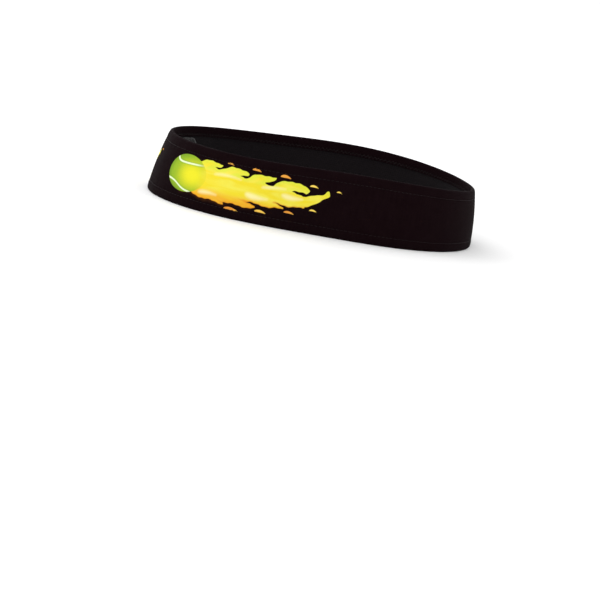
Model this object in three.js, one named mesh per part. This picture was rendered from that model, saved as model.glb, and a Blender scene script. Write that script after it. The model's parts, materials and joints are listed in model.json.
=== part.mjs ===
// Sports headband: a printed stretch-knit shell with turned hems, a wicking lining, edge
// elastics, a terry brow pad, its sewing threads, a seam tape and a care label.
// Millimetres, +Z up. The band stands on its lower edge on z = 0, with the origin at the
// middle of its footprint. The forehead faces -Y and the wearer's left ear faces +X.

import * as THREE from 'three';

// ---------------------------------------------------------------- driving dimensions

const LENGTH = 205.5; // forehead to back of head, over the band at half height
const BREADTH = 155.6; // over the band at the ears
const EGG = 1.2; // narrower forehead, wider back: third harmonic of the radius
const SQUARENESS = -1.4; // flatter sides and fuller corners: fourth harmonic

const HEIGHT = 39; // of the band, straight up from its lower edge
const BULGE = 1.1; // how far half height stands out beyond the edges
const LEAN = 6; // degrees that the wall leans in towards its top, on average
const LEAN_FRONT = 3; // more at the forehead and less behind
const LEAN_ENDS = 3.3; // more at both ends than at the sides
const RIM_TILT = 0.4; // the upper edge is a little higher at the forehead
const RIM_SADDLE = -1.4; // it rises over the ears
const RIM_RIPPLE = 1; // and it ripples a little round the head

const KNIT = 0.7; // thickness of the shell's outer wall
const LIP = 0.6; // thickness of the hem where it is turned in
const HEM = 7; // depth of the turned hem
const FOLD = 0.6; // rounding of the folded edges
const CLEARANCE = 0.3; // between pieces that lie on each other

const ELASTIC = 0.7; // thickness of the edge elastics and of the lining
const ELASTIC_WIDTH = 4.6;
const LINING_TUCK = 1; // how far the lining reaches under each hem

const PAD_LENGTH = 120;
const PAD_THICKNESS = 2;
const PAD_END_RADIUS = 9;
const PAD_MARGIN = 0.9; // between the pad and the hems
const PAD_STEPS = 30;
const PAD_SEAM_INSET = 2.5; // from the pad's edge to its row of stitches

const THREAD = 0.35; // thickness of a row of stitches
const HEM_STITCH_LINE = 5.6; // from the edge to the middle of the hem's rows
const NEEDLE_ROW = 0.6; // width of the row seen outside
const LOOPER_ROW = 2.4; // width of the looped row inside
const LOOP_PITCH = 12; // of the looper's wave, simplified
const SEAM_WIDTH = 5; // of the zigzag seam at the back
const SEAM_PITCH = 4;
const SEAM_GAP = 0.4; // between the ends of each strip, butted at the back

const TAPE_WIDTH = 10;
const TAPE_THICKNESS = 0.5;
const LABEL_WIDTH = 14;
const LABEL_HEIGHT = 18;
const LABEL_THICKNESS = 0.6;
const LABEL_OFFSET = 14; // from the back seam to the middle of the label

const TACK_WIDTH = 2; // of the zigzag that holds the label
const TACK_PITCH = 2;

const ROUND_STEPS = 72; // straight facets round the head
const WALL_ROWS = 6; // and up the wall
const PATCH_STEPS = 4; // across the tape and the label

// ---------------------------------------------------------------- depths below the surface

const CHANNEL = KNIT + CLEARANCE; // the elastics and the lining lie at this depth
const LIP_OUTER = CHANNEL + ELASTIC + CLEARANCE;
const LIP_INNER = LIP_OUTER + LIP;

// ---------------------------------------------------------------- the shape of the head

class HeadOutline extends THREE.Curve {
  // Starts at the back of the head, passes the right ear, the forehead and the left ear.
  getPoint(t, target = new THREE.Vector3()) {
    const angle = (t - 0.5) * 2 * Math.PI;
    const mean = (LENGTH + BREADTH) / 4 - SQUARENESS;
    const oval = (LENGTH - BREADTH) / 4;
    const radius = mean + oval * Math.cos(2 * angle)
      + EGG * Math.cos(3 * angle) + SQUARENESS * Math.cos(4 * angle);
    return target.set(radius * Math.sin(angle), -radius * Math.cos(angle), 0);
  }
}

const outline = new HeadOutline();
outline.arcLengthDivisions = 1440;
const GIRTH = outline.getLength();
const FACET = GIRTH / ROUND_STEPS;

// A point of the band from its place on the flat cloth: the distance round from the middle
// of the forehead, the height above the lower edge and the depth below the outer surface.
function place(along, height, depth) {
  const share = THREE.MathUtils.euclideanModulo(0.5 + along / GIRTH, 1);
  const foot = outline.getPointAt(share);
  const tangent = outline.getTangentAt(share);
  const angle = Math.atan2(foot.x, -foot.y);
  const rise = height / HEIGHT;
  const rim = RIM_TILT * Math.cos(angle) + RIM_SADDLE * Math.cos(2 * angle)
    + RIM_RIPPLE * Math.cos(3 * angle);
  const z = height + rise * rim;
  const lean = LEAN + LEAN_FRONT * Math.cos(angle) + LEAN_ENDS * Math.cos(2 * angle);
  const leanedOut = Math.tan(THREE.MathUtils.degToRad(lean)) * (HEIGHT / 2 - z);
  const bulged = BULGE * (4 * rise * (1 - rise) - 1);
  const outward = leanedOut + bulged - depth;
  return new THREE.Vector3(foot.x + tangent.y * outward, foot.y - tangent.x * outward, z);
}

// Bends a flat geometry round the head. toCloth reads a flat vertex as [along, height, depth].
function wrap(geometry, toCloth) {
  const position = geometry.getAttribute('position');
  for (let i = 0; i < position.count; i += 1) {
    const [along, height, depth] = toCloth(position.getX(i), position.getY(i), position.getZ(i));
    const point = place(along, height, depth);
    position.setXYZ(i, point.x, point.y, point.z);
  }
  geometry.computeVertexNormals();
  return geometry;
}

// ---------------------------------------------------------------- strips, patches and cords

// A strip: a cross-section of [depth, height] points, run along the cloth between two places.
function strip(section, from, to, steps = Math.round((to - from) / FACET)) {
  const shape = new THREE.Shape(section.map(([depth, height]) => new THREE.Vector2(depth, height)));
  const settings = { depth: to - from, steps, bevelEnabled: false };
  const geometry = new THREE.ExtrudeGeometry(shape, settings);
  return wrap(geometry, (x, y, z) => [from + z, y, x]);
}

// A patch: a flat outline of [along, height] points, of a given thickness.
function patch(points, outerDepth, thickness) {
  const shape = new THREE.Shape(points.map(([along, height]) => new THREE.Vector2(along, height)));
  const geometry = new THREE.ExtrudeGeometry(shape, { depth: thickness, bevelEnabled: false });
  const innerDepth = outerDepth + thickness;
  return wrap(geometry, (x, y, z) => [x, y, innerDepth - z]);
}

// A cord: a square thread that follows [along, height] points laid on the cloth.
function cord(points, outerDepth, thickness) {
  const half = thickness / 2;
  const route = points.map(([along, height]) => new THREE.Vector3(along, height, 0));
  const section = new THREE.Shape([
    new THREE.Vector2(-half, -half),
    new THREE.Vector2(half, -half),
    new THREE.Vector2(half, half),
    new THREE.Vector2(-half, half),
  ]);
  const settings = { extrudePath: new THREE.CatmullRomCurve3(route), steps: route.length * 2 };
  const geometry = new THREE.ExtrudeGeometry(section, settings);
  return wrap(geometry, (x, y, z) => [x, y, outerDepth + half - z]);
}

// ---------------------------------------------------------------- cross-sections and outlines

// Points up one face of a wall, enough of them for it to bulge.
function rows(depth, from, to, count) {
  const points = [];
  for (let i = 0; i <= count; i += 1) {
    points.push([depth, THREE.MathUtils.lerp(from, to, i / count)]);
  }
  return points;
}

function slab(outerDepth, thickness, from, to, count = 1) {
  const innerDepth = outerDepth + thickness;
  return [...rows(innerDepth, from, to, count), ...rows(outerDepth, to, from, count)];
}

// The shell's section: an outer wall whose two edges are turned in to make the hems.
function shellSection() {
  const soft = FOLD / 4;
  return [
    ...rows(0, HEIGHT - FOLD, FOLD, WALL_ROWS),
    [soft, soft],
    [FOLD, 0],
    [LIP_INNER - FOLD, 0],
    [LIP_INNER - soft, soft],
    [LIP_INNER, FOLD],
    [LIP_INNER, HEM],
    [LIP_OUTER, HEM],
    [LIP_OUTER, KNIT],
    ...rows(KNIT, KNIT, HEIGHT - KNIT, WALL_ROWS),
    [LIP_OUTER, HEIGHT - KNIT],
    [LIP_OUTER, HEIGHT - HEM],
    [LIP_INNER, HEIGHT - HEM],
    [LIP_INNER, HEIGHT - FOLD],
    [LIP_INNER - soft, HEIGHT - soft],
    [LIP_INNER - FOLD, HEIGHT],
    [FOLD, HEIGHT],
    [soft, HEIGHT - soft],
  ];
}

// A row that swings to and fro across a line: [run, swing] points round its outline.
function zigzag(length, pitch, width) {
  const turns = Math.round((2 * length) / pitch);
  const reach = (width - NEEDLE_ROW) / 2;
  const near = [];
  const far = [];
  for (let i = 0; i <= turns; i += 1) {
    const run = (length * i) / turns - length / 2;
    const swing = i % 2 ? reach : -reach;
    near.push([run, swing - NEEDLE_ROW / 2]);
    far.unshift([run, swing + NEEDLE_ROW / 2]);
  }
  return [...near, ...far];
}

// ---------------------------------------------------------------- knit, lining and elastics

const HALF_RING = (GIRTH - SEAM_GAP) / 2;

function ring(section) {
  return strip(section, -HALF_RING, HALF_RING);
}

function lining() {
  const edge = HEM - LINING_TUCK;
  return ring(slab(CHANNEL, ELASTIC, edge, HEIGHT - edge, WALL_ROWS - 2));
}

function edgeElastic(bottom) {
  return ring(slab(CHANNEL, ELASTIC, bottom, bottom + ELASTIC_WIDTH));
}

// ---------------------------------------------------------------- the hems' threads

const LOWER_HEM_LINE = HEM_STITCH_LINE;
const UPPER_HEM_LINE = HEIGHT - HEM_STITCH_LINE;
const HEM_ROW_HALF = GIRTH / 2 - SEAM_WIDTH / 2 - 1; // the rows start and stop beside the seam

function needleThread(line) {
  const section = slab(-CLEARANCE - THREAD, THREAD, line - NEEDLE_ROW / 2, line + NEEDLE_ROW / 2);
  return strip(section, -HEM_ROW_HALF, HEM_ROW_HALF);
}

function looperThread(line) {
  const wave = zigzag(2 * HEM_ROW_HALF, LOOP_PITCH, LOOPER_ROW);
  const points = wave.map(([run, swing]) => [run, line + swing]);
  return patch(points, LIP_INNER + CLEARANCE, THREAD);
}

// ---------------------------------------------------------------- the back seam

const BACK = GIRTH / 2; // half way round from the forehead

function seamThread() {
  const wave = zigzag(HEIGHT - 4 * FOLD, SEAM_PITCH, SEAM_WIDTH);
  const points = wave.map(([run, swing]) => [BACK + swing, HEIGHT / 2 + run]);
  return patch(points, -CLEARANCE - THREAD, THREAD);
}

const PANEL_BOTTOM = HEM + CLEARANCE; // of the bare lining between the hems
const PANEL_TOP = HEIGHT - HEM - CLEARANCE;

function seamTape() {
  const section = slab(LIP_OUTER, TAPE_THICKNESS, PANEL_BOTTOM, PANEL_TOP, WALL_ROWS - 2);
  return strip(section, BACK - TAPE_WIDTH / 2, BACK + TAPE_WIDTH / 2, PATCH_STEPS);
}

// ---------------------------------------------------------------- the brow pad

const PAD_TALL = PANEL_TOP - PANEL_BOTTOM - 2 * PAD_MARGIN;

// Half the height of a stadium-ended pad at a distance from its middle.
function padReach(along) {
  const past = Math.max(0, Math.abs(along) - (PAD_LENGTH / 2 - PAD_END_RADIUS));
  const rounded = Math.sqrt(Math.max(0, PAD_END_RADIUS ** 2 - past ** 2));
  return PAD_TALL / 2 - PAD_END_RADIUS + rounded;
}

function browPad() {
  const section = slab(LIP_OUTER, PAD_THICKNESS, -1, 1, WALL_ROWS - 2);
  const shape = new THREE.Shape(section.map(([depth, share]) => new THREE.Vector2(depth, share)));
  const settings = { depth: PAD_LENGTH, steps: PAD_STEPS, bevelEnabled: false };
  const geometry = new THREE.ExtrudeGeometry(shape, settings);
  return wrap(geometry, (x, y, z) => {
    const along = z - PAD_LENGTH / 2;
    return [along, HEIGHT / 2 + y * padReach(along), x];
  });
}

function padThread() {
  const inset = PAD_SEAM_INSET;
  const track = new THREE.Path();
  const right = PAD_LENGTH / 2 - inset;
  const top = PAD_TALL / 2 - inset;
  const radius = PAD_END_RADIUS - inset;
  track.moveTo(0, -top);
  track.absarc(right - radius, -top + radius, radius, -Math.PI / 2, 0);
  track.absarc(right - radius, top - radius, radius, 0, Math.PI / 2);
  track.absarc(radius - right, top - radius, radius, Math.PI / 2, Math.PI);
  track.absarc(radius - right, radius - top, radius, Math.PI, 1.5 * Math.PI);
  track.lineTo(-THREAD * 2, -top);
  const points = track.getSpacedPoints(PAD_STEPS * 2).map((p) => [p.x, HEIGHT / 2 + p.y]);
  return cord(points, LIP_OUTER + PAD_THICKNESS + CLEARANCE, THREAD);
}

// ---------------------------------------------------------------- the care label

const LABEL_MIDDLE = BACK + LABEL_OFFSET;

function careLabel() {
  const section = slab(LIP_OUTER, LABEL_THICKNESS, PANEL_TOP - LABEL_HEIGHT, PANEL_TOP, 2);
  const start = LABEL_MIDDLE - LABEL_WIDTH / 2;
  return strip(section, start, start + LABEL_WIDTH, PATCH_STEPS);
}

function labelThread() {
  const wave = zigzag(LABEL_WIDTH - 3, TACK_PITCH, TACK_WIDTH);
  const points = wave.map(([run, swing]) => [LABEL_MIDDLE + run, PANEL_TOP - TACK_WIDTH + swing]);
  return patch(points, LIP_OUTER + LABEL_THICKNESS + CLEARANCE, THREAD);
}

// ---------------------------------------------------------------- assembly

function piece(name, geometry, color, roughness) {
  const material = new THREE.MeshStandardMaterial({ color, roughness, metalness: 0 });
  const mesh = new THREE.Mesh(geometry, material);
  mesh.name = name;
  return mesh;
}

const band = new THREE.Group();
band.add(
  piece('outer_shell', ring(shellSection()), '#171013', 0.8),
  piece('inner_lining', lining(), '#0d0b0c', 0.9),
  piece('top_edge_elastic', edgeElastic(HEIGHT - CHANNEL - ELASTIC_WIDTH), '#1c1a1b', 0.7),
  piece('bottom_edge_elastic', edgeElastic(CHANNEL), '#1c1a1b', 0.7),
  piece('top_hem_needle_thread', needleThread(UPPER_HEM_LINE), '#1d1719', 0.5),
  piece('top_hem_looper_thread', looperThread(UPPER_HEM_LINE), '#1d1719', 0.6),
  piece('bottom_hem_needle_thread', needleThread(LOWER_HEM_LINE), '#1d1719', 0.5),
  piece('bottom_hem_looper_thread', looperThread(LOWER_HEM_LINE), '#1d1719', 0.6),
  piece('back_seam_thread', seamThread(), '#1d1719', 0.5),
  piece('back_seam_tape', seamTape(), '#141213', 0.7),
  piece('brow_pad', browPad(), '#131112', 1),
  piece('brow_pad_thread', padThread(), '#1d1719', 0.6),
  piece('care_label', careLabel(), '#d9d8d4', 0.5),
  piece('care_label_thread', labelThread(), '#1d1719', 0.6),
);

// The egg shape is longer behind the ears than in front of them, so the footprint is centred.
const footprint = new THREE.Box3().setFromObject(band);
band.position.y = -(footprint.min.y + footprint.max.y) / 2;

const headband = new THREE.Group();
headband.add(band);

export default headband;
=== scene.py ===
"""A sports headband of black printed stretch knit, standing on a pale floor.

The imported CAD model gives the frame. Each piece is modelled again here as fine cloth or
thread. Its place is worked out from flat cloth coordinates: the distance along the band from
the middle of the forehead, towards the wearer's left, the height above the lower edge, and
the depth below the outer surface. Everything is in metres unless a name says otherwise.
"""

import json
import math
from functools import partialmethod

import bmesh
import bpy
import numpy as np
from mathutils import Matrix, Vector

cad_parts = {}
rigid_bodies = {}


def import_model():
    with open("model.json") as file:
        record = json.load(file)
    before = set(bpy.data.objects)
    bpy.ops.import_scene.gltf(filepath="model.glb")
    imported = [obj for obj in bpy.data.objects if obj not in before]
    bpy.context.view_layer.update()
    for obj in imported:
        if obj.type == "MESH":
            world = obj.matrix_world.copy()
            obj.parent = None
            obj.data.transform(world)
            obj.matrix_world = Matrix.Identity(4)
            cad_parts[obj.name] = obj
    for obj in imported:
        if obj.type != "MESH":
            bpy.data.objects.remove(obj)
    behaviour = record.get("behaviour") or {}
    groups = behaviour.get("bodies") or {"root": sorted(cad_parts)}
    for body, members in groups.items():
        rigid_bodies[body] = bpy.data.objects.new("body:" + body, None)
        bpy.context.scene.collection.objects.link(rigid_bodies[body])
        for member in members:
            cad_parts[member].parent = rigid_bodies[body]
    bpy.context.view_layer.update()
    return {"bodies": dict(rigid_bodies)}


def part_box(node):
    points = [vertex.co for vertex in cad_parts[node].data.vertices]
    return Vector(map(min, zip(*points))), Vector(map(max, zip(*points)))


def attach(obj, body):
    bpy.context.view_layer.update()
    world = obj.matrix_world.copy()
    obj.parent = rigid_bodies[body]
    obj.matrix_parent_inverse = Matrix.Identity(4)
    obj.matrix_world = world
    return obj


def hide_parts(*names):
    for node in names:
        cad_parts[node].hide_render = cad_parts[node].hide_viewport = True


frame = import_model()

BODY = next(iter(frame["bodies"]))

# ---------------- dimensions

MM = 0.001
LENGTH, BREADTH = 205.5 * MM, 155.6 * MM  # over the band at half height
EGG, SQUARENESS = 1.2 * MM, -1.4 * MM  # third and fourth harmonics of the outline's radius
HEIGHT = 39 * MM
BULGE = 1.1 * MM  # how far half height stands out beyond the edges
LEAN, LEAN_FRONT, LEAN_ENDS = 6, 3, 3.3  # degrees that the wall leans in towards its top
RIM_TILT, RIM_SADDLE, RIM_RIPPLE = 0.4 * MM, -1.4 * MM, 1.0 * MM

KNIT = 0.7 * MM  # thickness of the shell's outer wall
CHANNEL = 1.0 * MM  # depth at which the lining and the elastics lie
LAYER = 0.7 * MM  # their thickness
LIP_OUTER, LIP_INNER = 2.0 * MM, 2.6 * MM  # depths of the turned hem's inner leaf
HEM = 7 * MM
HEM_LINE = 5.6 * MM  # from each edge to its row of stitches
STITCH_LINES = (HEM_LINE, HEIGHT - HEM_LINE)
LINING_EDGE = 6 * MM
ELASTIC_WIDTH = 4.6 * MM
PANEL_BOTTOM, PANEL_TOP = 7.3 * MM, HEIGHT - 7.3 * MM  # the lining that shows between the hems
SEAM_LAP = 0.06 * MM  # how far the strip's butted ends press into each other, at the back
SEAM_HALF = 2.2 * MM  # from the join to each outer row of the back seam
TAPE_ROWS = (SEAM_HALF, 4.2 * MM)  # from the join to each row of stitches inside

PAD_LENGTH, PAD_TALL = 120 * MM, 22.6 * MM
PAD_END_RADIUS = 9 * MM
PAD_SEAM_INSET = 2.5 * MM
TAPE_WIDTH, TAPE_THICKNESS = 10 * MM, 0.5 * MM
LABEL_WIDTH, LABEL_TALL = 14 * MM, 18 * MM
LABEL_OFFSET = 14 * MM  # from the back seam to the label's middle

THREAD = 0.3 * MM
STITCH_PITCH = 2.6 * MM

# ---------------- the shape of the band

OUTLINE_STEPS = 7200
ANGLES = np.linspace(-np.pi, np.pi, OUTLINE_STEPS + 1)  # 0 at the forehead


def points_at(*coordinates):
    """Points from their coordinates. Any of these may be one number for all."""
    return np.stack(np.broadcast_arrays(*coordinates), axis=-1)


def outline():
    """The band's outer surface at half height, seen from above."""
    mean = (LENGTH + BREADTH) / 4 - SQUARENESS
    oval = (LENGTH - BREADTH) / 4
    radius = (mean + oval * np.cos(2 * ANGLES)
              + EGG * np.cos(3 * ANGLES) + SQUARENESS * np.cos(4 * ANGLES))
    return points_at(radius * np.sin(ANGLES), -radius * np.cos(ANGLES))


OUTLINE = outline()
STEP_LENGTHS = np.linalg.norm(np.diff(OUTLINE, axis=0), axis=1)
GIRTH = STEP_LENGTHS.sum()
RUN = np.concatenate([[0], np.cumsum(STEP_LENGTHS)]) - GIRTH / 2
OUTWARD = np.gradient(OUTLINE, axis=0)[:, ::-1] * (1, -1)
OUTWARD /= np.linalg.norm(OUTWARD, axis=1)[:, None]
HALF_RING = (GIRTH + SEAM_LAP) / 2

random = np.random.default_rng(11)
# Slow drag lines all over, and short puckers along the rows of stitches, as waves round the
# girth: how many, and their size, phase and slant.
DRAG = [(n, 0.55 * MM / n ** 0.5 * random.uniform(0.3, 1), random.uniform(0, 6.3),
         random.uniform(-2.5, 2.5)) for n in (6, 9, 13, 17, 22, 29, 37)]
PUCKERS = [(n, 0.028 * MM * random.uniform(0.5, 1), random.uniform(0, 6.3),
            random.uniform(-1, 1)) for n in (61, 74, 83, 97, 112, 127)]
DRAG_SHARE = 0.32
PUCKER_REACH = 2.2 * MM  # how far the puckers spread above and below their row


def waves(kinds, along, rise):
    """The sum of those waves round the band."""
    turn = 2 * np.pi * along / GIRTH
    return sum(size * np.cos(n * turn + phase + slant * rise) for n, size, phase, slant in kinds)


def relief(along, height):
    """How far the stretched cloth stands out of its smooth shape."""
    rise = np.clip(height / HEIGHT, 0, 1)
    near_row = sum(np.exp(-((height - line) / PUCKER_REACH) ** 2) for line in STITCH_LINES)
    return DRAG_SHARE * waves(DRAG, along, rise) + near_row * waves(PUCKERS, along, rise)


def place(along, height, depth):
    """Points in the row frame, from flat cloth coordinates."""
    along, height, depth = np.broadcast_arrays(along, height, depth)
    run = (along + GIRTH / 2) % GIRTH - GIRTH / 2
    angle = np.interp(run, RUN, ANGLES)
    rise = height / HEIGHT
    rim = (RIM_TILT * np.cos(angle) + RIM_SADDLE * np.cos(2 * angle)
           + RIM_RIPPLE * np.cos(3 * angle))
    z = height + rise * rim
    lean = np.radians(LEAN + LEAN_FRONT * np.cos(angle) + LEAN_ENDS * np.cos(2 * angle))
    bulged = BULGE * (4 * rise * (1 - rise) - 1)
    out = np.tan(lean) * (HEIGHT / 2 - z) + bulged + relief(run, height) - depth
    x, y = (np.interp(run, RUN, OUTLINE[:, k]) for k in (0, 1))
    nx, ny = (np.interp(run, RUN, OUTWARD[:, k]) for k in (0, 1))
    return points_at(x + nx * out, y + ny * out + CENTRING, z)


def centring():
    """How far the band lies back from its outline's own origin, from the shell's CAD box."""
    low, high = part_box("outer_shell")
    ends = place(np.array([[0.0], [GIRTH / 2]]), np.linspace(0, HEIGHT, 40)[None], 0.0)[..., 1]
    return (low.y + high.y) / 2 - (ends[0].min() + ends[1].max()) / 2


CENTRING = 0.0  # until it is measured
CENTRING = centring()

# ---------------- making meshes


def unit(vectors):
    """The same directions, one long."""
    return vectors / np.maximum(np.linalg.norm(vectors, axis=-1, keepdims=True), 1e-12)


def grid_faces(rows, columns, closed=False):
    """Quads of a grid whose points are counted row by row. closed joins its sides."""
    i = np.arange(rows - 1)[:, None] * columns
    j = np.arange(columns if closed else columns - 1)[None, :]
    k = (j + 1) % columns
    quads = np.stack([i + j, i + k, i + k + columns, i + j + columns], axis=-1)
    return quads.reshape(-1, 4)


def rim_walls(rows, columns):
    """Quads that join the rims of two such grids, the second counted after the first."""
    grid = np.arange(rows * columns).reshape(rows, columns)
    edge = np.concatenate([grid[0, :-1], grid[:-1, -1], grid[-1, :0:-1], grid[:0:-1, 0]])
    after = np.roll(edge, -1)
    return np.stack([edge, after, after + grid.size, edge + grid.size], axis=1)


def add_object(name, data):
    """A new object in the scene."""
    made = bpy.data.objects.new(name, data)
    bpy.context.scene.collection.objects.link(made)
    return made


def make_piece(name, points, faces, cloth, finish):
    """A smooth mesh. Its "cloth" UV map holds where each point is on the flat cloth."""
    mesh = bpy.data.meshes.new(name)
    mesh.from_pydata(points.reshape(-1, 3).tolist(), [], faces)
    solid = bmesh.new()
    solid.from_mesh(mesh)
    bmesh.ops.recalc_face_normals(solid, faces=solid.faces)
    solid.to_mesh(mesh)
    solid.free()
    corners = np.zeros(len(mesh.loops), np.int32)
    mesh.loops.foreach_get("vertex_index", corners)
    layer = mesh.uv_layers.new(name="cloth")
    layer.data.foreach_set("uv", cloth.reshape(-1, 2)[corners].astype(np.float32).ravel())
    mesh.polygons.foreach_set("use_smooth", np.ones(len(mesh.polygons), bool))
    mesh.materials.append(finish)
    return add_object(name, mesh)


def strip(name, alongs, depth, height, finish):
    """A closed strip: depth and height are its cross-section, for every place in alongs."""
    along, height, depth = np.broadcast_arrays(alongs[:, None], height, depth)
    rings = np.arange(along.size).reshape(along.shape)
    faces = grid_faces(*along.shape, closed=True).tolist() + rings[[0, -1]].tolist()
    return make_piece(
        name, place(along, height, depth), faces, points_at(along, height), finish)


def thread_mesh(routes, thickness, sides, planar):
    """Points, faces and cloth coordinates of round threads with closed ends.

    routes holds one row of (along, height, depth) points for each thread. planar says that
    each lies in an upright plane of its own, as a single stitch or a loop of pile does.
    """
    count, steps = routes.shape[:2]
    centre = place(routes[..., 0], routes[..., 1], routes[..., 2])
    forward = unit(np.gradient(centre, axis=1))
    outward = unit((centre - (0, CENTRING, 0)) * (1, 1, 0))
    lead = centre[:, -1:] - centre[:, :1] if planar else forward
    side = np.broadcast_to(unit(np.cross(lead, outward)), centre.shape)
    across = unit(np.cross(side, forward))
    turn = np.linspace(0, 2 * np.pi, sides, endpoint=False)[:, None]
    ring = side[..., None, :] * np.cos(turn) + across[..., None, :] * np.sin(turn)
    points = centre[..., None, :] + ring * thickness / 2
    rings = np.arange(count * steps * sides).reshape(count, steps, sides)
    quads = grid_faces(steps, sides, closed=True) + rings[:, :1, :1]
    faces = quads.reshape(-1, 4).tolist() + rings[:, (0, -1)].reshape(-1, sides).tolist()
    lengths = np.linalg.norm(np.diff(centre, axis=1), axis=-1)
    run = np.concatenate([np.zeros((count, 1)), np.cumsum(lengths, axis=1)], axis=1)
    cloth = points_at(run[..., None], turn[:, 0] * thickness / 2)
    return points.reshape(-1, 3), faces, cloth.reshape(-1, 2)


def joined(name, parts, finish):
    """One piece from several parts: (points, faces, cloth) each."""
    points, face_lists, cloth = zip(*parts)
    starts = np.cumsum([0] + [len(some) for some in points]).tolist()
    faces = [[corner + start for corner in face]
             for some, start in zip(face_lists, starts) for face in some]
    return make_piece(name, np.concatenate(points), faces, np.concatenate(cloth), finish)


def threads(name, groups, finish, thickness=THREAD):
    """One piece from several groups of threads: (routes, sides, planar) each."""
    return joined(name, [thread_mesh(routes, thickness, sides, planar)
                         for routes, sides, planar in groups], finish)


# ---------------- materials


def connect(value, entry):
    """Gives a node's input a field or a plain value."""
    if isinstance(value, Field):
        value.tree.links.new(value.socket, entry)
    else:
        entry.default_value = value


def add_node(tree, kind, **values):
    """A new shader node with those inputs."""
    node = tree.nodes.new("ShaderNode" + kind)
    for name, value in values.items():
        connect(value, node.inputs[name.replace("_", " ")])
    return node


class Field:
    """A number or colour in a material, on which arithmetic adds nodes."""

    def __init__(self, tree, socket):
        self.tree = tree
        self.socket = socket

    def apply(self, operation, *others):
        """The result of a Math node."""
        node = add_node(self.tree, "Math")
        node.operation = operation
        for entry, value in zip(node.inputs, (self, *others)):
            connect(value, entry)
        return Field(self.tree, node.outputs[0])

    __add__ = partialmethod(apply, "ADD")
    __sub__ = partialmethod(apply, "SUBTRACT")
    __mul__ = partialmethod(apply, "MULTIPLY")
    __truediv__ = partialmethod(apply, "DIVIDE")
    __pow__ = partialmethod(apply, "POWER")
    __abs__ = partialmethod(apply, "ABSOLUTE")

    def flipped(self):
        """One minus this."""
        return self * -1 + 1

    def wave(self, pitch):
        """From 0 to 1 and back once in each pitch."""
        return (self * (2 * math.pi / pitch)).apply("COSINE") * 0.5 + 0.5

    def cell(self, pitch):
        """From -0.5 to 0.5 across each pitch."""
        return (self / pitch).apply("FRACT") - 0.5

    def between(self, start, end):
        """0 up to start and 1 from end on, smoothly."""
        node = add_node(self.tree, "MapRange", Value=self, From_Min=min(start, end),
                        From_Max=max(start, end), To_Min=float(start > end),
                        To_Max=float(start < end))
        node.interpolation_type = "SMOOTHSTEP"
        return Field(self.tree, node.outputs["Result"])


def ink(red, green, blue):
    """A colour given as screen values from 0 to 255."""
    shares = np.array([red, green, blue]) / 255
    linear = np.where(shares > 0.04045, ((shares + 0.055) / 1.055) ** 2.4, shares / 12.92)
    return (*linear.tolist(), 1.0)


class Finish:
    """A cloth material under construction."""

    def __init__(self, name, **sockets):
        self.material = bpy.data.materials.new(name)
        self.material.use_nodes = True
        self.tree = self.material.node_tree
        self.shader = self.tree.nodes["Principled BSDF"]
        for socket, value in sockets.items():
            self.shader.inputs[socket.replace("_", " ")].default_value = value
        spot = add_node(self.tree, "UVMap")
        spot.uv_map = "cloth"
        split = add_node(self.tree, "SeparateXYZ", Vector=Field(self.tree, spot.outputs["UV"]))
        self.along = Field(self.tree, split.outputs[0]) * 1000  # millimetres
        self.height = Field(self.tree, split.outputs[1]) * 1000

    def number(self, name):
        """A number stored with the points of the mesh."""
        node = add_node(self.tree, "Attribute")
        node.attribute_name = name
        return Field(self.tree, node.outputs["Fac"])

    def noise(self, along_mm, height_mm, detail, sway=0.0):
        """From 0 to 1, in patches of about that size on the cloth."""
        spot = add_node(
            self.tree, "CombineXYZ", X=self.along / along_mm, Y=self.height / height_mm)
        node = add_node(self.tree, "TexNoise", Vector=Field(self.tree, spot.outputs[0]),
                        Scale=1.0, Detail=detail, Distortion=sway)
        return Field(self.tree, node.outputs["Fac"])

    def blend(self, first, second, share):
        """From the first colour to the second, as share goes from 0 to 1."""
        node = add_node(self.tree, "Mix", Factor=share)
        node.data_type = "RGBA"
        colours = [entry for entry in node.inputs if entry.type == "RGBA"]
        connect(first, colours[0])
        connect(second, colours[1])
        made = next(output for output in node.outputs if output.type == "RGBA")
        return Field(self.tree, made)

    def layered(self, colour, *layers):
        """That colour under others: (colour, share) each."""
        for other, share in layers:
            colour = self.blend(colour, other, share)
        return colour

    def finished(self, colour, bump_mm):
        """The material, with its bump given as a height in millimetres."""
        connect(colour, self.shader.inputs["Base Color"])
        node = add_node(self.tree, "Bump", Strength=1.0, Distance=MM, Height=bump_mm)
        self.tree.links.new(node.outputs["Normal"], self.shader.inputs["Normal"])
        return self.material


def jersey(finish, wale, course):
    """The height of plain knit loops, from 0 to 1: columns of small V shapes."""
    across = abs(finish.along.cell(wale))
    loops = (finish.height + across * (course * 1.1)).wave(course)
    return loops * across.between(0.5, 0.2)


# ---------------- the printed motif
# Its sizes are millimetres on the cloth. x runs from the middle of the ball towards the
# flame's tip, and y up from it.

BALL_ALONG, BALL_HEIGHT = 52.9, 20.5
BALL_REACH, BALL_RISE = 16.7, 11.5  # the print is stretched round the head with the cloth
PRINT_REACH = 106  # from the middle of the ball to beyond the last spark
REPEAT = 142.5  # a second motif on the wearer's right
PRINT_START = 17.0  # where the first motif's stretch of cloth starts
PRINT_EDGE = 0.14  # half the width of the print's soft edge
OUTSIDE = -9.0  # the depth of all cloth far from the print

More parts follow.
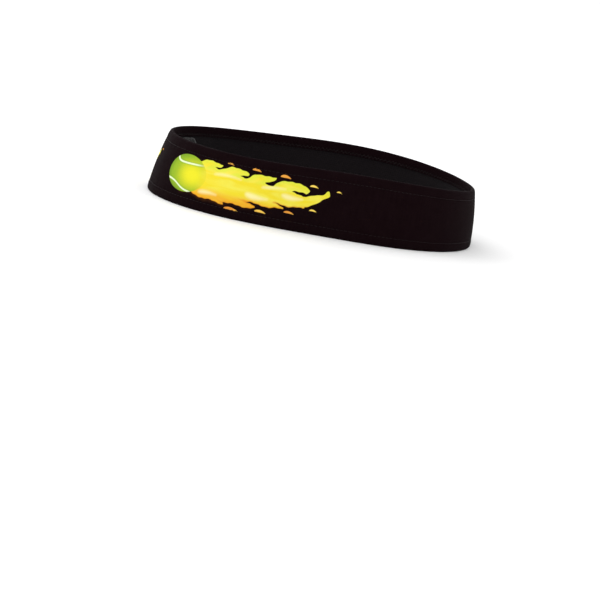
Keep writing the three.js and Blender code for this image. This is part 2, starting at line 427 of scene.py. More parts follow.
# The flame is a body and the tongues that curl off it, above and below: each has its start,
# bend and end, and its first and last radius.
TONGUES = [
    ((0, -1), (45, 1), (86, -0.8), 9.4, 1.6),
    ((4, 3), (15, 9.6), (25, 10.2), 4.6, 0.9), ((21, -0.5), (34, 10.4), (43.5, 9), 5, 0.9),
    ((40, -2), (51, 9.4), (60.5, 8.4), 4.7, 0.8), ((59, -2.5), (70, 10.6), (81.5, 4.2), 4.9, 1.1),
    ((2, -3), (15, -8.2), (31, -11.8), 5.8, 0.7), ((20, -3.5), (36, -8.4), (51, -10.4), 5.6, 0.7),
    ((40, -1.8), (54, -5.8), (68, -7.8), 4.8, 0.7), ((60, -0.6), (70, -3.2), (80, -5.4), 3.8, 0.7),
    ((66, -1.4), (84, -4.6), (94, 5), 4, 1.3),
]
TONGUE_SOFTNESS = 0.8  # how softly they run together
# Waves that make the drawn edges waver: height, radians per millimetre in x and y, phase.
WAVER_X = [(0.5, 0.21, 1.1, 0), (0.1, -0.5, 2.3, 0)]
WAVER_Y = [(0.45, 0.41, 0.4, 0), (0.16, 1.27, -0.6, 1.1)]
# Sparks, worked out from where each starts, its length and its thickest radius.
SPARKS = [
    ((left, low), (left + 0.45 * length, low + 0.9), (left + length, low - 0.5), thickest)
    for left, low, length, thickest in (
        (29, 12.4, 4.6, 0.45), (46, 12, 5.4, 0.7), (64, 11, 6.0, 0.85), (82.5, 7.8, 5.0, 0.6),
        (33, -14.4, 8.5, 0.85), (52, -12.3, 6.5, 0.75), (69.5, -9.8, 6.0, 0.65),
        (84.5, -6.4, 4.6, 0.5), (99, 6.6, 3.4, 0.4))
]
# Pale glints inside the flame: start, bend, end and thickest radius.
GLINTS = [
    ((14, -8.6), (19, -7.2), (26, -8), 1.3), ((45, -3.2), (50, -4.8), (58, -4.2), 1.8),
    ((67, 0), (72, -1.4), (79, -0.6), 1.6), ((54, 2.4), (60, 3.8), (68, 3.8), 0.9),
    ((22, 4.2), (31, 6), (40, 4.4), 0.8),
]
STROKE = np.linspace(0, 1, 40)  # the way along a stroke, from its start to its end


def stroke_depth(x, y, start, bend, end, radii):
    """How deep (x, y) lies inside a stroke along a bent line, negative outside it."""
    t = STROKE[:, None]
    line = ((1 - t) ** 2 * np.array(start) + 2 * t * (1 - t) * np.array(bend)
            + t ** 2 * np.array(end))
    depth = np.full(x.shape, OUTSIDE)
    for (px, py), radius in zip(line, radii):
        depth = np.maximum(depth, radius - np.hypot(x - px, y - py))
    return depth


def larger(first, second, softness):
    """The larger of two depths, rounded off where they are nearly the same."""
    share = np.clip(0.5 + 0.5 * (first - second) / softness, 0, 1)
    return second + (first - second) * share + softness * share * (1 - share)


def waver(kinds, x, y):
    """How far those waves push a place of the drawing."""
    return sum(size * np.sin(x * by_x + y * by_y + phase) for size, by_x, by_y, phase in kinds)


def flame(x, y):
    """How deep (x, y) lies inside the flame, negative outside it."""
    x, y = x + waver(WAVER_X, x, y), y + waver(WAVER_Y, x, y)
    depth = np.full(x.shape, OUTSIDE)
    full = (1 - STROKE ** 1.3) ** 1.1
    for *line, first, last in TONGUES:
        tongue = stroke_depth(x, y, *line, last + (first - last) * full)
        depth = larger(depth, tongue, TONGUE_SOFTNESS)
    return depth


def flecks(x, y, rows, fullest):
    """Depth inside short strokes with slim ends. A smaller fullest is thickest earlier."""
    depth = np.full(x.shape, OUTSIDE)
    full = 0.3 + 0.7 * np.sin(np.pi * STROKE ** fullest)
    for *line, thickest in rows:
        depth = np.maximum(depth, stroke_depth(x, y, *line, thickest * full))
    return depth


def print_depths(along, height):
    """Signed depths of the flame, sparks, ball and glints at points of the outer surface."""
    x = (along / MM - PRINT_START) % REPEAT + PRINT_START - BALL_ALONG
    y = height / MM - BALL_HEIGHT
    printed = (along / MM > PRINT_START - REPEAT) & (along / MM < PRINT_START + REPEAT)
    ball = (1 - np.hypot(x / BALL_REACH, y / BALL_RISE)) * BALL_RISE
    depths = flame(x, y), flecks(x, y, SPARKS, 0.8), ball, flecks(x, y, GLINTS, 0.6)
    return [np.where(printed, depth, OUTSIDE) for depth in depths]


PRINT_NUMBERS = ("flame_depth", "spark_depth", "ball_depth", "glint_depth")


def flame_colour(finish, x, y, depth, streaks, sweep, glints):
    """Yellow, greener along the upper edge and orange below, with pale glints."""
    lemon, gold, amber = ink(241, 230, 84), ink(240, 220, 52), ink(238, 172, 44)
    lime, rust, cream = ink(214, 230, 72), ink(226, 140, 34), ink(255, 247, 196)
    warm = (y + streaks * 5).between(-1.0, -7.5) * x.between(82, 44)
    upper_edge = depth.between(3.2, 0.3) * y.between(1, 7)
    lower_edge = depth.between(1.0, 0.1) * y.between(-3, -6)
    return finish.layered(
        lemon, (gold, streaks.between(0.3, 0.65)), (amber, warm * (sweep * 0.6 + 0.55)),
        (lime, upper_edge * 0.65), (rust, lower_edge * 0.7),
        (cream, glints.between(-1.1, 1.4) * 0.62))


def ball_colour(finish, p, q, depth):
    """Felt lit from the right, with a pale seam. p and q go from -1 to 1 across the ball."""
    lit, shaded, rim_green = ink(236, 229, 48), ink(152, 184, 48), ink(112, 150, 44)
    fuzz_green, seam_shadow, seam_white = ink(96, 140, 40), ink(120, 160, 44), ink(232, 248, 200)
    from_light = ((p - 0.35) ** 2 + (q + 0.02) ** 2) ** 0.5
    rim = depth.between(3.4, 0.0) * p.between(0.5, -0.35)
    fuzz = finish.noise(0.8, 0.5, detail=3).between(0.5, 0.8) * p.between(0.6, -0.6)
    # The distance to the seam's two lines: one bends round a corner, the other sways.
    left, above = p + 0.78, q - p * 0.12 - 0.5
    upper = abs(left * above - 0.03) / ((left ** 2 + above ** 2) ** 0.5) + left.between(0.05, 0)
    turned = p + 0.22
    lower = abs(q + 0.71 + turned * 0.62 / ((turned * 2.4) ** 2 + 1) ** 0.5)
    seam = upper.apply("MINIMUM", lower)
    return finish.layered(
        lit, (shaded, from_light.between(0.15, 1.05)), (rim_green, rim * 0.7),
        (fuzz_green, fuzz * 0.35), (seam_shadow, seam.between(0.13, 0.05) * 0.5),
        (seam_white, seam.between(0.062, 0.03) * p.between(1.0, 0.3)))


def printed_knit():
    """Fine black jersey with the ball and its flames printed on its outer face."""
    finish = Finish("printed_knit", Roughness=0.9, Specular_IOR_Level=0.03,
                    Sheen_Weight=0.004, Sheen_Roughness=0.4)
    loops = jersey(finish, wale=0.75, course=0.55)
    mottle = finish.noise(9, 6, detail=3)
    wales = finish.noise(0.9, 12, detail=2)  # each column of loops a little unlike the next
    uneven = (loops * 0.35 + mottle * 0.25 + wales * 0.4).between(0.15, 0.75)
    black = finish.blend(ink(11, 2, 4), ink(23, 11, 14), uneven)

    x = finish.along.apply("WRAP", PRINT_START + REPEAT, PRINT_START) - BALL_ALONG
    y = finish.height - BALL_HEIGHT
    p, q = x / BALL_REACH, y / BALL_RISE
    depth, sparks, ball, glints = (finish.number(name) for name in PRINT_NUMBERS)
    streaks = finish.noise(19, 4.2, detail=1, sway=0.5)
    sweep = finish.noise(30, 5, detail=1, sway=0.4)
    flames = flame_colour(finish, x, y, depth, streaks, sweep, glints)
    felt = ball_colour(finish, p, q, ball)
    merged = finish.blend(felt, flames, p.between(0.55, 1.0) * 0.8)
    ember = finish.blend(ink(228, 150, 62), ink(250, 214, 96), sweep.between(0.35, 0.65))

    glow = depth.between(-2.4, 0.0) * y.between(0, -8) * x.between(60, 10) * 0.18
    in_flames, in_sparks, in_ball, in_either = (
        inside.between(-PRINT_EDGE, PRINT_EDGE)
        for inside in (depth, sparks, ball, depth.apply("MAXIMUM", ball)))
    # The last layer is painted shade: the print a little darker, a dark olive, in the hollows
    # between the knit's loops.
    colour = finish.layered(
        black, (ink(120, 70, 20), glow), (flames, in_flames), (ember, in_sparks),
        (merged, in_ball), (ink(40, 34, 8), in_either * loops.flipped() * 0.08))
    return finish.finished(colour, loops * 0.045 + mottle * 0.05)


def lining_knit():
    """Wicking bird's-eye mesh: small holes in staggered rows."""
    finish = Finish("lining_knit", Roughness=0.85, Specular_IOR_Level=0.05,
                    Sheen_Weight=0.04, Sheen_Roughness=0.5)
    hole_pitch, row_pitch = 1.6, 1.3
    row = (finish.height / row_pitch).apply("FLOOR")
    shifted = finish.along + row.apply("MODULO", 2.0) * (hole_pitch / 2)
    across, up = shifted.cell(hole_pitch), finish.height.cell(row_pitch)
    hole = (across ** 2 + up ** 2).between(0.07, 0.02)
    loops = jersey(finish, wale=0.4, course=0.33)
    colour = finish.layered(
        ink(17, 13, 15), (ink(29, 24, 26), loops), (ink(8, 6, 7), hole * 0.9))
    return finish.finished(colour, loops * 0.03 - hole * 0.16)


ELASTIC_RIB = 0.62  # millimetres


def elastic_tape():
    """Knitted elastic: ribs along the tape and fine picks across it."""
    finish = Finish("elastic_tape", Roughness=0.6, Specular_IOR_Level=0.25)
    ribs = finish.height.wave(ELASTIC_RIB)
    picks = finish.along.wave(0.45)
    colour = finish.blend(ink(24, 22, 23), ink(52, 49, 50), ribs * (picks * 0.4 + 0.6))
    return finish.finished(colour, ribs * 0.08 + picks * 0.03)


def sewing_thread():
    """Two-ply spun polyester, with the twist of its plies."""
    finish = Finish("sewing_thread", Roughness=0.6, Specular_IOR_Level=0.1,
                    Sheen_Weight=0.04, Sheen_Roughness=0.4)
    twist = (finish.along + finish.height * 0.8).wave(0.38)
    fibres = finish.noise(0.5, 0.08, detail=2)
    colour = finish.blend(ink(14, 7, 8), ink(36, 26, 28), twist * 0.7 + fibres * 0.3)
    return finish.finished(colour, twist * 0.05 + fibres * 0.015)


HERRINGBONE = 2.0  # millimetres


def seam_tape():
    """Narrow cotton herringbone tape."""
    finish = Finish("seam_tape", Roughness=0.8, Specular_IOR_Level=0.15,
                    Sheen_Weight=0.2, Sheen_Roughness=0.5)
    slope = abs(finish.along.cell(HERRINGBONE)) * 2.2
    twill = (finish.height + slope).wave(0.62)
    spine = abs(finish.along.cell(HERRINGBONE / 2)).between(0.42, 0.5)
    colour = finish.blend(ink(20, 18, 19), ink(48, 44, 46), twill * spine.flipped())
    return finish.finished(colour, twill * 0.07 - spine * 0.05)


def terry():
    """Cotton terry, soft and matt, its loops a little lighter at their tops."""
    finish = Finish("terry", Roughness=0.95, Specular_IOR_Level=0.06,
                    Sheen_Weight=0.35, Sheen_Roughness=0.6)
    fibres = finish.noise(0.35, 0.25, detail=3)
    patches = finish.noise(7, 5, detail=2)
    colour = finish.blend(ink(15, 13, 14), ink(40, 37, 39), fibres * 0.6 + patches * 0.4)
    return finish.finished(colour, fibres * 0.12)


def label_satin():
    """Blank woven satin: close fine warp threads with a soft gloss."""
    finish = Finish("label_satin", Roughness=0.42, Specular_IOR_Level=0.45,
                    Sheen_Weight=0.15, Sheen_Roughness=0.3)
    warp = finish.along.wave(0.24)
    floats = finish.noise(0.3, 1.6, detail=2)
    selvedge = abs(finish.along - GIRTH / 2 / MM - LABEL_OFFSET / MM).between(6.1, 6.6)
    colour = finish.layered(
        ink(226, 224, 218), (ink(204, 201, 194), warp * 0.5 + floats * 0.5),
        (ink(190, 187, 180), selvedge * 0.6))
    return finish.finished(colour, warp * 0.02 + floats * 0.02)


# ---------------- the shell

DENT, DENT_REACH = 0.26 * MM, 0.75 * MM
PUFF, PUFF_REACH, PUFF_MIDDLE = 0.13 * MM, 2.4 * MM, 3 * MM  # the last is from the edge


def hem_dent(height):
    """How far a row of hem stitches pulls the two faces of the hem together."""
    return sum(DENT * np.exp(-((height - line) / DENT_REACH) ** 2) for line in STITCH_LINES)


def hem_puff(height):
    """How far the elastic in each hem fills it out, between its fold and its stitches."""
    from_edge = np.minimum(height, HEIGHT - height)
    inside = np.clip(1 - ((from_edge - PUFF_MIDDLE) / PUFF_REACH) ** 2, 0, 1)
    return PUFF * inside ** 2


def shell_section():
    """(depth, height) round the shell: an outer wall, its edges turned in as hems."""
    fold, inner_fold, cut_bevel = 1.1 * MM, 0.4 * MM, 0.15 * MM
    turn = np.linspace(0, np.pi, 8)
    coarse, fine = 0.7 * MM, 0.53 * MM  # fine where the print is
    print_low, print_high = 5.0 * MM, 34.05 * MM
    outer = np.concatenate([
        np.arange(1.5 * MM, print_low, coarse),
        np.arange(print_low, print_high, fine),
        np.arange(34.7 * MM, HEIGHT - 1.4 * MM, coarse),
    ])
    leaf = np.linspace(2 * MM, HEM - cut_bevel, 8)
    wall = np.linspace(1.6 * MM, HEIGHT - 1.6 * MM, 11)

    def arc(radius_depth, radius_height, middle_depth):
        """Over the top of a fold, from outside to inside."""
        return points_at(middle_depth - radius_depth * np.cos(turn),
                         HEIGHT - fold + radius_height * np.sin(turn))

    def face(heights, depth, pull):
        """A face whose dent and puff move it inwards by pull times as much."""
        return points_at(depth + pull * (hem_dent(heights) - hem_puff(heights)), heights)

    def mirrored(points):
        """The same at the lower edge."""
        return (points * (1, -1) + (0, HEIGHT))[::-1]

    outer_fold = arc(LIP_INNER / 2, fold, LIP_INNER / 2)
    lining_fold = arc((LIP_OUTER - KNIT) / 2, inner_fold, (LIP_OUTER + KNIT) / 2)
    leaf_inner = face(HEIGHT - leaf, LIP_INNER, -1)
    leaf_edge = [(LIP_INNER - cut_bevel, HEIGHT - HEM), (LIP_OUTER + cut_bevel, HEIGHT - HEM)]
    leaf_outer = face(HEIGHT - leaf[::-1], LIP_OUTER, -1)
    upper = np.concatenate([outer_fold, leaf_inner, leaf_edge, leaf_outer, lining_fold[::-1]])
    return np.concatenate([
        face(outer, 0.0, 1), upper, face(wall[::-1], KNIT, 1), mirrored(upper),
    ])


def round_the_band(pitch, fine_pitch=None):
    """Places all round, closer together under the print if fine_pitch is given."""
    if fine_pitch is None:
        return np.linspace(-HALF_RING, HALF_RING, round(2 * HALF_RING / pitch) + 1)
    margin = 2
    start = (BALL_ALONG - REPEAT - BALL_REACH - margin) * MM
    end = (BALL_ALONG + PRINT_REACH) * MM
    return np.concatenate([
        np.linspace(-HALF_RING, start, round((start + HALF_RING) / pitch), endpoint=False),
        np.linspace(start, end, round((end - start) / fine_pitch), endpoint=False),
        np.linspace(end, HALF_RING, round((HALF_RING - end) / pitch)),
    ])


def make_shell():
    """The outer shell, with the depths of its print stored for its material."""
    alongs = round_the_band(1.4 * MM, fine_pitch=0.58 * MM)
    depth, height = shell_section().T
    # The strip's cut ends turn in a little at the butted seam.
    turned_in, turned_reach = 0.32 * MM, 0.9 * MM
    to_end = HALF_RING - np.abs(alongs)
    sunk = turned_in * np.exp(-(to_end / turned_reach) ** 2)[:, None]
    outside = depth < KNIT / 2 + hem_dent(height)
    shell = strip("outer_shell_cloth", alongs, depth + sunk * outside, height, printed_knit())
    along, height = np.broadcast_arrays(alongs[:, None], height)
    for name, values in zip(PRINT_NUMBERS, print_depths(along, height)):
        attribute = shell.data.attributes.new(name, "FLOAT", "POINT")
        shown = np.where(outside, values, OUTSIDE).astype(np.float32)
        attribute.data.foreach_set("value", shown.ravel())
    return shell


# ---------------- lining, elastics, tape


def slab_section(outer_depth, thickness, low, high, count, soft=0.12 * MM):
    """(depth, height) round a flat strip with softened corners."""
    heights = np.linspace(low + soft, high - soft, count)
    inner_depth = outer_depth + thickness
    return np.concatenate([
        points_at(outer_depth, heights),
        [[outer_depth + soft, high], [inner_depth - soft, high]],
        points_at(inner_depth, heights[::-1]),
        [[inner_depth - soft, low], [outer_depth + soft, low]],
    ])


def make_lining():
    """A flat strip round the inside, its edges under the hems."""
    depth, height = slab_section(CHANNEL, LAYER, LINING_EDGE, HEIGHT - LINING_EDGE, 30).T
    return strip("inner_lining_cloth", round_the_band(1.3 * MM), depth, height, lining_knit())


def make_elastic(name, bottom, finish):
    """A ribbed strip in a hem, from bottom upwards."""
    depth, height = slab_section(CHANNEL, LAYER, bottom, bottom + ELASTIC_WIDTH, 24).T
    rib_height = 0.05 * MM
    ribs = rib_height * np.cos(2 * np.pi * height / (ELASTIC_RIB * MM))
    inner = depth > CHANNEL + LAYER / 2
    ribbed = depth + np.where(inner, -np.abs(ribs), np.abs(ribs))
    return strip(name, round_the_band(1.8 * MM), ribbed, height, finish)


def make_tape():
    """The herringbone tape over the join, ridged and pulled in along its rows of stitches."""
    ridge_height, pull, pull_reach = 0.06 * MM, 0.14 * MM, 0.45 * MM
    alongs = GIRTH / 2 + np.linspace(-TAPE_WIDTH / 2, TAPE_WIDTH / 2, 41)
    depth, height = slab_section(LIP_OUTER, TAPE_THICKNESS, PANEL_BOTTOM, PANEL_TOP, 48).T
    across = (alongs - GIRTH / 2)[:, None]
    ridges = ridge_height * np.cos(2 * np.pi * across / (HERRINGBONE * MM))
    pulled = sum(np.exp(-((np.abs(across) - row) / pull_reach) ** 2) for row in TAPE_ROWS)
    inner = depth > LIP_OUTER + TAPE_THICKNESS / 2
    shaped = depth + inner * (ridges - pull * pulled)
    return strip("back_seam_tape_cloth", alongs, shaped, height, seam_tape())


def make_label():
    """A blank label, folded in two at its lower end and held at its upper one."""
    leaf, gap, stand_off = 0.16 * MM, 0.22 * MM, 0.05 * MM
    thickness = 2 * leaf + gap
    height = PANEL_TOP - np.linspace(0, LABEL_TALL, 26)  # from the sewn end to the fold
    back, inner_back, inner_front, front = (
        points_at(face, height) for face in (0.0, leaf, leaf + gap, thickness))
    fold = [(thickness / 2, PANEL_TOP - LABEL_TALL - 0.15 * MM)]
    depth, height = np.concatenate([
        back, fold, front[::-1], inner_front[:-2], inner_back[:-2][::-1]]).T
    across = np.linspace(-0.5, 0.5, 29)[:, None]
    held = 3 * MM  # under the bar tack
    hang = np.clip((PANEL_TOP - held - height) / LABEL_TALL, 0, 1)
    curl = hang ** 2 * (1.5 + 1.1 * across + 1.6 * across ** 2) * MM
    alongs = GIRTH / 2 + LABEL_OFFSET + across[:, 0] * LABEL_WIDTH
    return strip("care_label_cloth", alongs, LIP_OUTER + stand_off + depth + curl, height,
                 label_satin())


# ---------------- threads

STITCH_STEPS = 8
STITCH_FLATNESS = 0.55  # below 1, a stitch lies flat between its two holes


def row_of_stitches(starts, ends, depth, sink=0.3 * MM, rise=0.16 * MM):
    """Single stitches: each dips into the cloth at both ends, from a surface at depth.

    sink is positive on the outer face, where into the cloth is deeper, and negative inside.
    """
    t = np.linspace(0, 1, STITCH_STEPS)
    along, height = (starts[:, k, None] * (1 - t) + ends[:, k, None] * t for k in (0, 1))
    lift = np.sin(np.pi * t) ** STITCH_FLATNESS
    towards = math.copysign(1, sink)
    return points_at(along, height, depth + sink - (sink + towards * rise) * lift)


def stitches_between(spots, gap, *depths):
    """A row of stitches from each spot to the next, each shortened by gap at both ends."""
    return row_of_stitches(spots[:-1] + gap, spots[1:] - gap, *depths)


def hem_places():
    """Where the needle goes in along a hem, up to the back seam."""
    reach = GIRTH / 2 - SEAM_HALF - 1.3 * MM
    return np.linspace(-reach, reach, round(2 * reach / STITCH_PITCH) + 1)


def make_needle_row(name, line, finish):
    """The outer row of a hem: straight stitches, in the groove that they pull."""
    marks = hem_places()
    wander = 0.05 * MM * random.standard_normal(len(marks))
    spots = points_at(marks, line + wander)
    stitches = stitches_between(spots, (0.22 * MM, 0), hem_dent(line))
    return threads(name, [(stitches, 6, True)], finish)


def make_looper_row(name, line, finish):
    """The inner side of a hem: one soft thread that loops over the raw edge."""
    swing, back = 1.05 * MM, 0.55 * MM  # how far it goes to each side, and back on itself
    lift, bob = 0.16 * MM, 0.09 * MM  # how far it lies off the cloth, and rises over itself
    marks = hem_places()
    loops = len(marks) - 1
    turn = np.linspace(0, 2 * np.pi * loops, loops * 14 + 1)
    along = np.interp(turn / (2 * np.pi), np.arange(loops + 1), marks)
    depth = LIP_INNER - hem_dent(line) + lift + bob * np.cos(2 * turn)
    looper = points_at(along + back * np.sin(2 * turn), line + swing * np.sin(turn), depth)[None]
    knots = stitches_between(
        points_at(marks, line), (0.9 * MM, 0), LIP_INNER - 0.1 * MM, -0.25 * MM, 0.4 * MM)
    return threads(name, [(looper, 5, False), (knots, 6, True)], finish)


def zigzag(length, pitch, reach):
    """(run, swing) points of a rounded zigzag."""
    steps, sharpness = 16, 0.96  # steps in each turn; a sharpness of 1 has sharp corners
    turns = round(length / pitch)
    turn = np.linspace(0, 2 * np.pi * turns, turns * steps + 1)
    swing = np.arcsin(sharpness * np.sin(turn)) / np.arcsin(sharpness) * reach
    return turn / turn[-1] * length - length / 2, swing


def make_seam_thread(finish):
    """The flat seam at the back: rows of stitches and two threads that cross between them."""
    run, swing = zigzag(HEIGHT - 2.6 * MM, 1.7 * MM, SEAM_HALF)
    bow = 0.05 * MM * np.cos(swing / SEAM_HALF * np.pi)
    groups = []
    for share, depth in ((1, -0.14 * MM), (-0.96, -0.3 * MM)):
        cover = points_at(GIRTH / 2 + swing * share, HEIGHT / 2 + run, depth - bow)
        groups.append((cover[None], 6, False))
    outside = np.linspace(1.6 * MM, HEIGHT - 1.6 * MM, 17)
    inside = np.linspace(PANEL_BOTTOM + 0.6 * MM, PANEL_TOP - 0.6 * MM, 11)
    rows = [(SEAM_HALF, outside, -0.2 * MM, 0.3 * MM)]
    rows += [(row, inside, LIP_OUTER + 0.36 * MM, -0.25 * MM) for row in TAPE_ROWS]
    for side in (-1, 1):
        for row, marks, depth, sink in rows:
            spots = points_at(GIRTH / 2 + side * row, marks)
            stitches = stitches_between(spots, (0, 0.25 * MM), depth, sink)
            groups.append((stitches, 6, True))
    return threads("back_seam_stitches", groups, finish)


def make_label_tack(finish):
    """A close zigzag bar tack across the label's upper end."""
    pitch = reach = 0.75 * MM
    run, swing = zigzag(LABEL_WIDTH - 3 * MM, pitch, reach)
    depth = LIP_OUTER + 0.78 * MM + 0.05 * MM * np.cos(swing / reach * np.pi)
    route = points_at(GIRTH / 2 + LABEL_OFFSET + run, PANEL_TOP - 2 * MM + swing, depth)
    return threads("care_label_stitches", [(route[None], 6, False)], finish)


# ---------------- the brow pad

PAD_PITCH = 1.0 * MM
PAD_BACK = LIP_OUTER
PAD_START = 1.25 * MM  # its thickness before it swells
PAD_STITCHED = 0.75 * MM  # its thickness under its row of stitches
PILE_THREAD, PAD_THREAD = 0.3 * MM, 0.34 * MM
SWELL_CAP = 1.1 * MM
SIM_SCALE = 20  # the pad is simulated flat and larger, where the solver is stable
SIM_FRAMES = 20
# From the pad's middle to the middles of its round corners.
CORNER_ALONG, CORNER_UP = PAD_LENGTH / 2 - PAD_END_RADIUS, PAD_TALL / 2 - PAD_END_RADIUS


def pad_reach(along):
    """Half the height of the pad at a distance from its middle."""
    past = np.maximum(0, np.abs(along) - CORNER_ALONG)
    return CORNER_UP + np.sqrt(np.maximum(0, PAD_END_RADIUS ** 2 - past ** 2))


def pad_edge_distance(along, height):
    """From a place on the pad to its outline."""
    x, y = np.abs(along) - CORNER_ALONG, np.abs(height - HEIGHT / 2) - CORNER_UP
    outside = np.hypot(np.maximum(x, 0), np.maximum(y, 0))
    return PAD_END_RADIUS - outside - np.minimum(np.maximum(x, y), 0)


def pad_grid():
    """The pad's places, row by row along it: (along, height) of shape (rows, columns)."""
    rows, columns = round(PAD_LENGTH / PAD_PITCH) + 1, round(PAD_TALL / PAD_PITCH) + 1
    along = np.linspace(-PAD_LENGTH / 2, PAD_LENGTH / 2, rows)[:, None]
    share = np.linspace(-1, 1, columns)[None, :]
    return np.broadcast_arrays(along, HEIGHT / 2 + share * pad_reach(along))


def swollen(along, height, thickness):
    """The pad's front after Blender's Cloth has blown it up between its stitches.

    The pad lies flat for it, with its back and its row of stitches pinned.
    """
    front = points_at(along, height - HEIGHT / 2, thickness).reshape(-1, 3) * SIM_SCALE
    back = front * (1, 1, 0)
    count = along.size
    quads = grid_faces(*along.shape)
    faces = np.concatenate([quads, quads[:, ::-1] + count, rim_walls(*along.shape)[:, ::-1]])
    mesh = bpy.data.meshes.new("pad_blank")
    mesh.from_pydata(np.concatenate([front, back]).tolist(), [], faces.tolist())
    blank = add_object("pad_blank", mesh)
    distance = pad_edge_distance(along, height).ravel()
    pin_reach = 0.6 * MM
    pinned = np.flatnonzero(np.abs(distance - PAD_SEAM_INSET) < pin_reach)
    pins = blank.vertex_groups.new(name="pins")
    pins.add([*pinned.tolist(), *range(count, 2 * count)], 1.0, "REPLACE")
    cloth = blank.modifiers.new("swell", "CLOTH")
    cloth.settings.quality = 6
    cloth.settings.vertex_group_mass = "pins"
    cloth.settings.use_pressure = True
    cloth.settings.uniform_pressure_force = 4
    cloth.settings.shrink_min = -0.05
    cloth.settings.effector_weights.gravity = 0
    cloth.point_cache.frame_end = SIM_FRAMES
    scene = bpy.context.scene
    for number in range(1, SIM_FRAMES + 1):
        scene.frame_set(number)
    blown = blank.evaluated_get(bpy.context.evaluated_depsgraph_get()).data.vertices
    moved = np.zeros(len(blown) * 3, np.float32)
    blown.foreach_get("co", moved)
    scene.frame_set(1)
    bpy.data.objects.remove(blank)
    shift = (moved.reshape(-1, 3)[:count] - front) / SIM_SCALE
    far = np.linalg.norm(shift, axis=1, keepdims=True)
    shift *= np.minimum(1, SWELL_CAP / np.maximum(far, 1e-9))
    return (front / SIM_SCALE + shift).reshape(*along.shape, 3)


def pad_pile(roots):
    """Points, faces and cloth coordinates of loops that stand there."""
    def drawn(low, high):
        """One random number for each loop."""
        return random.uniform(low, high, (len(roots), 1))

    facing = drawn(0, np.pi)
    half_width = drawn(0.34, 0.5) * MM
    tall = drawn(0.55, 0.95) * MM
    turn = np.linspace(-0.1 * np.pi, 1.1 * np.pi, 7)[None, :]  # a little over half a turn
    lean = drawn(-0.35, 0.35) * MM * np.maximum(np.sin(turn), 0)
    loops = points_at(
        roots[:, :1] + half_width * np.cos(turn) * np.cos(facing) + lean,
        roots[:, 1:2] + half_width * np.cos(turn) * np.sin(facing) + lean * 0.6,
        roots[:, 2:] + tall * np.sin(turn) - 0.05 * MM)
    points, faces, cloth = thread_mesh(loops, PILE_THREAD, 4, True)
    return points, faces, cloth + np.repeat(roots[:, :2], len(points) // len(roots), axis=0)


def make_pad():
    """A terry pad: a swollen body and its pile of small loops, as one piece."""
    along, height = pad_grid()
    distance = pad_edge_distance(along, height)
    from_seam = distance - PAD_SEAM_INSET
    groove = np.exp(-(from_seam / (0.8 * MM)) ** 2)
    rounded = np.sqrt(np.clip(distance / (1.2 * MM), 0, 1))
    thickness = (PAD_START - (PAD_START - PAD_STITCHED) * groove) * (0.35 + 0.65 * rounded)
    body = swollen(along, height, thickness)
    along, height, depth = body[..., 0], body[..., 1] + HEIGHT / 2, PAD_BACK + body[..., 2]
    flat = pad_grid()
    points = np.concatenate([place(along, height, depth), place(*flat, PAD_BACK)]).reshape(-1, 3)
    quads = grid_faces(*along.shape)
    faces = np.concatenate([quads, quads + along.size, rim_walls(*along.shape)]).tolist()
    cloth = np.stack([points_at(along, height), points_at(*flat)]).reshape(-1, 2)

    piled = (distance > 0.25 * MM) & (np.abs(from_seam) > 0.45 * MM)
    roots = points_at(along[piled], height[piled], depth[piled])
    roots[:, :2] += random.uniform(-0.32, 0.32, (len(roots), 2)) * MM
    return joined("brow_pad_terry", [(points, faces, cloth), pad_pile(roots)], terry())


def make_pad_thread(finish):
    """Stitches round the pad, a little inside its edge."""
    radius = PAD_END_RADIUS - PAD_SEAM_INSET
    quarter = np.pi / 2
    turn = np.linspace(0, quarter, 30)
    track = np.concatenate([
        points_at(x * CORNER_ALONG + radius * np.cos(turn + start),
                  y * CORNER_UP + radius * np.sin(turn + start))
        for x, y, start in ((1, -1, -quarter), (1, 1, 0), (-1, 1, quarter), (-1, -1, np.pi))])
    track = np.concatenate([track, track[:1]])
    lengths = np.linalg.norm(np.diff(track, axis=0), axis=1)
    run = np.concatenate([[0], np.cumsum(lengths)])
    count = round(run[-1] / STITCH_PITCH)

    def spots(shift):
        """Places along the track, that share of a stitch past its marks."""
        where = (np.arange(count) + shift) / count * run[-1]
        return points_at(*(np.interp(where, run, track[:, k]) for k in (0, 1)))

    middle = (0, HEIGHT / 2)
    stitches = row_of_stitches(spots(0.08) + middle, spots(0.92) + middle,
                               PAD_BACK + PAD_STITCHED, -0.25 * MM, 0.22 * MM)
    return threads("brow_pad_stitches", [(stitches, 6, True)], finish, PAD_THREAD)


# ---------------- the studio

# Azimuth, elevation and roll in degrees. The roll makes the back of the band sit lower.
CAMERA_ANGLES = 84.98, 7.756, 10.547
CAMERA_DISTANCE = 1.5
CAMERA_LENS, CAMERA_SENSOR = 140.9, 36  # millimetres
BAND_RIGHT, BAND_UP = 0.02993, 0.18977  # from the view's centre to the band's, over its width

FLOOR_REACH = 20
SOFTBOXES = {"key": (0.3, -2.0, 1.4), "rim": (-1.8, -0.8, 0.9)}  # the rim grazes the forehead
SOFTBOX_SIZE, SOFTBOX_WATTS = 1.3, 11
SUN_STRENGTH, SUN_SPREAD = 0.3, 70  # the spread in degrees
WORLD_STRENGTH = 1.0


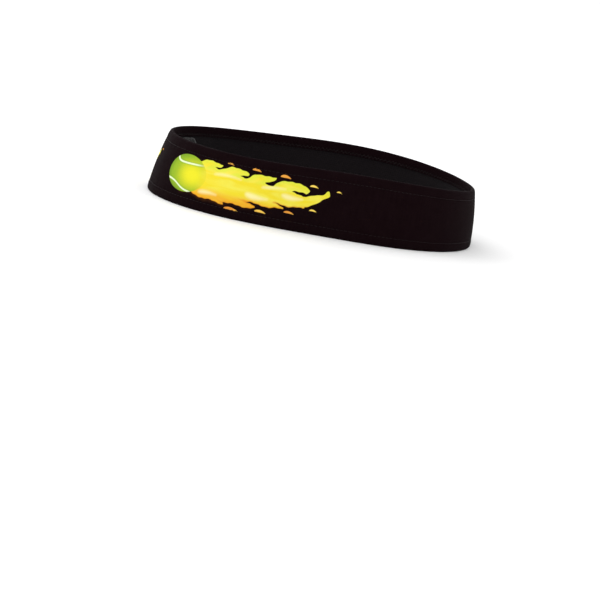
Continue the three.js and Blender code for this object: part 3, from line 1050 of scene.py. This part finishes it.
def make_camera():
    """The photo's camera."""
    azimuth, elevation, roll = map(math.radians, CAMERA_ANGLES)
    back = Vector((math.sin(azimuth) * math.cos(elevation),
                   -math.cos(azimuth) * math.cos(elevation), math.sin(elevation)))
    right = Vector((math.cos(azimuth), math.sin(azimuth), 0))
    up = back.cross(right)
    rolled_right = right * math.cos(roll) + up * math.sin(roll)
    facing = Matrix((rolled_right, back.cross(rolled_right), back)).transposed().to_quaternion()
    data = bpy.data.cameras.new("camera")
    data.sensor_width = CAMERA_SENSOR
    data.lens = CAMERA_LENS
    data.clip_start = 0.05
    towards_band = Vector((BAND_RIGHT, BAND_UP, -data.lens / data.sensor_width))
    camera = add_object("camera", data)
    camera.location = Vector((0, CENTRING, HEIGHT / 2)) + back * CAMERA_DISTANCE
    camera.rotation_mode = "QUATERNION"
    camera.rotation_quaternion = facing @ towards_band.rotation_difference(Vector((0, 0, -1)))
    bpy.context.scene.camera = camera


def make_floor():
    """A matt white floor, which is no part of the object."""
    finish = bpy.data.materials.new("floor")
    finish.use_nodes = True
    shader = finish.node_tree.nodes["Principled BSDF"]
    shader.inputs["Base Color"].default_value = (0.95, 0.95, 0.95, 1)
    shader.inputs["Roughness"].default_value = 0.9
    shader.inputs["Specular IOR Level"].default_value = 0.1
    mesh = bpy.data.meshes.new("floor")
    signs = (-1, -1), (1, -1), (1, 1), (-1, 1)
    corners = [(x * FLOOR_REACH, y * FLOOR_REACH, 0) for x, y in signs]
    mesh.from_pydata(corners, [], [(0, 1, 2, 3)])
    mesh.materials.append(finish)
    add_object("floor", mesh)


def make_softbox(name, where):
    """A square light that faces the band."""
    data = bpy.data.lights.new(name, "AREA")
    data.size = SOFTBOX_SIZE
    data.energy = SOFTBOX_WATTS
    light = add_object(name, data)
    light.location = where
    light.rotation_euler = (-Vector(where)).to_track_quat("-Z", "Y").to_euler()


def make_studio():
    """White light from everywhere, two softboxes and a wide soft sun straight above."""
    world = bpy.data.worlds.new("studio")
    world.use_nodes = True
    background = world.node_tree.nodes["Background"]
    background.inputs["Color"].default_value = (1, 1, 1, 1)
    background.inputs["Strength"].default_value = WORLD_STRENGTH
    bpy.context.scene.world = world
    for name, where in SOFTBOXES.items():
        make_softbox(name, where)
    overhead = bpy.data.lights.new("overhead", "SUN")
    overhead.energy = SUN_STRENGTH
    overhead.angle = math.radians(SUN_SPREAD)
    add_object("overhead", overhead)
    bpy.context.scene.view_settings.view_transform = "Standard"


# ---------------- the headband

make_camera()
make_studio()
make_floor()

thread = sewing_thread()
elastic = elastic_tape()
pieces = {"outer_shell": make_shell(), "inner_lining": make_lining()}
for edge, low in (("top", HEIGHT - CHANNEL - ELASTIC_WIDTH), ("bottom", CHANNEL)):
    pieces[f"{edge}_edge_elastic"] = make_elastic(f"{edge}_edge_elastic_tape", low, elastic)
for edge, line in (("top", HEIGHT - HEM_LINE), ("bottom", HEM_LINE)):
    pieces[f"{edge}_hem_needle_thread"] = make_needle_row(f"{edge}_hem_stitches", line, thread)
    pieces[f"{edge}_hem_looper_thread"] = make_looper_row(f"{edge}_hem_loops", line, thread)
pieces |= {
    "back_seam_thread": make_seam_thread(thread),
    "back_seam_tape": make_tape(),
    "brow_pad": make_pad(),
    "brow_pad_thread": make_pad_thread(thread),
    "care_label": make_label(),
    "care_label_thread": make_label_tack(thread),
}
for node, piece in pieces.items():
    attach(piece, BODY)
    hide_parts(node)
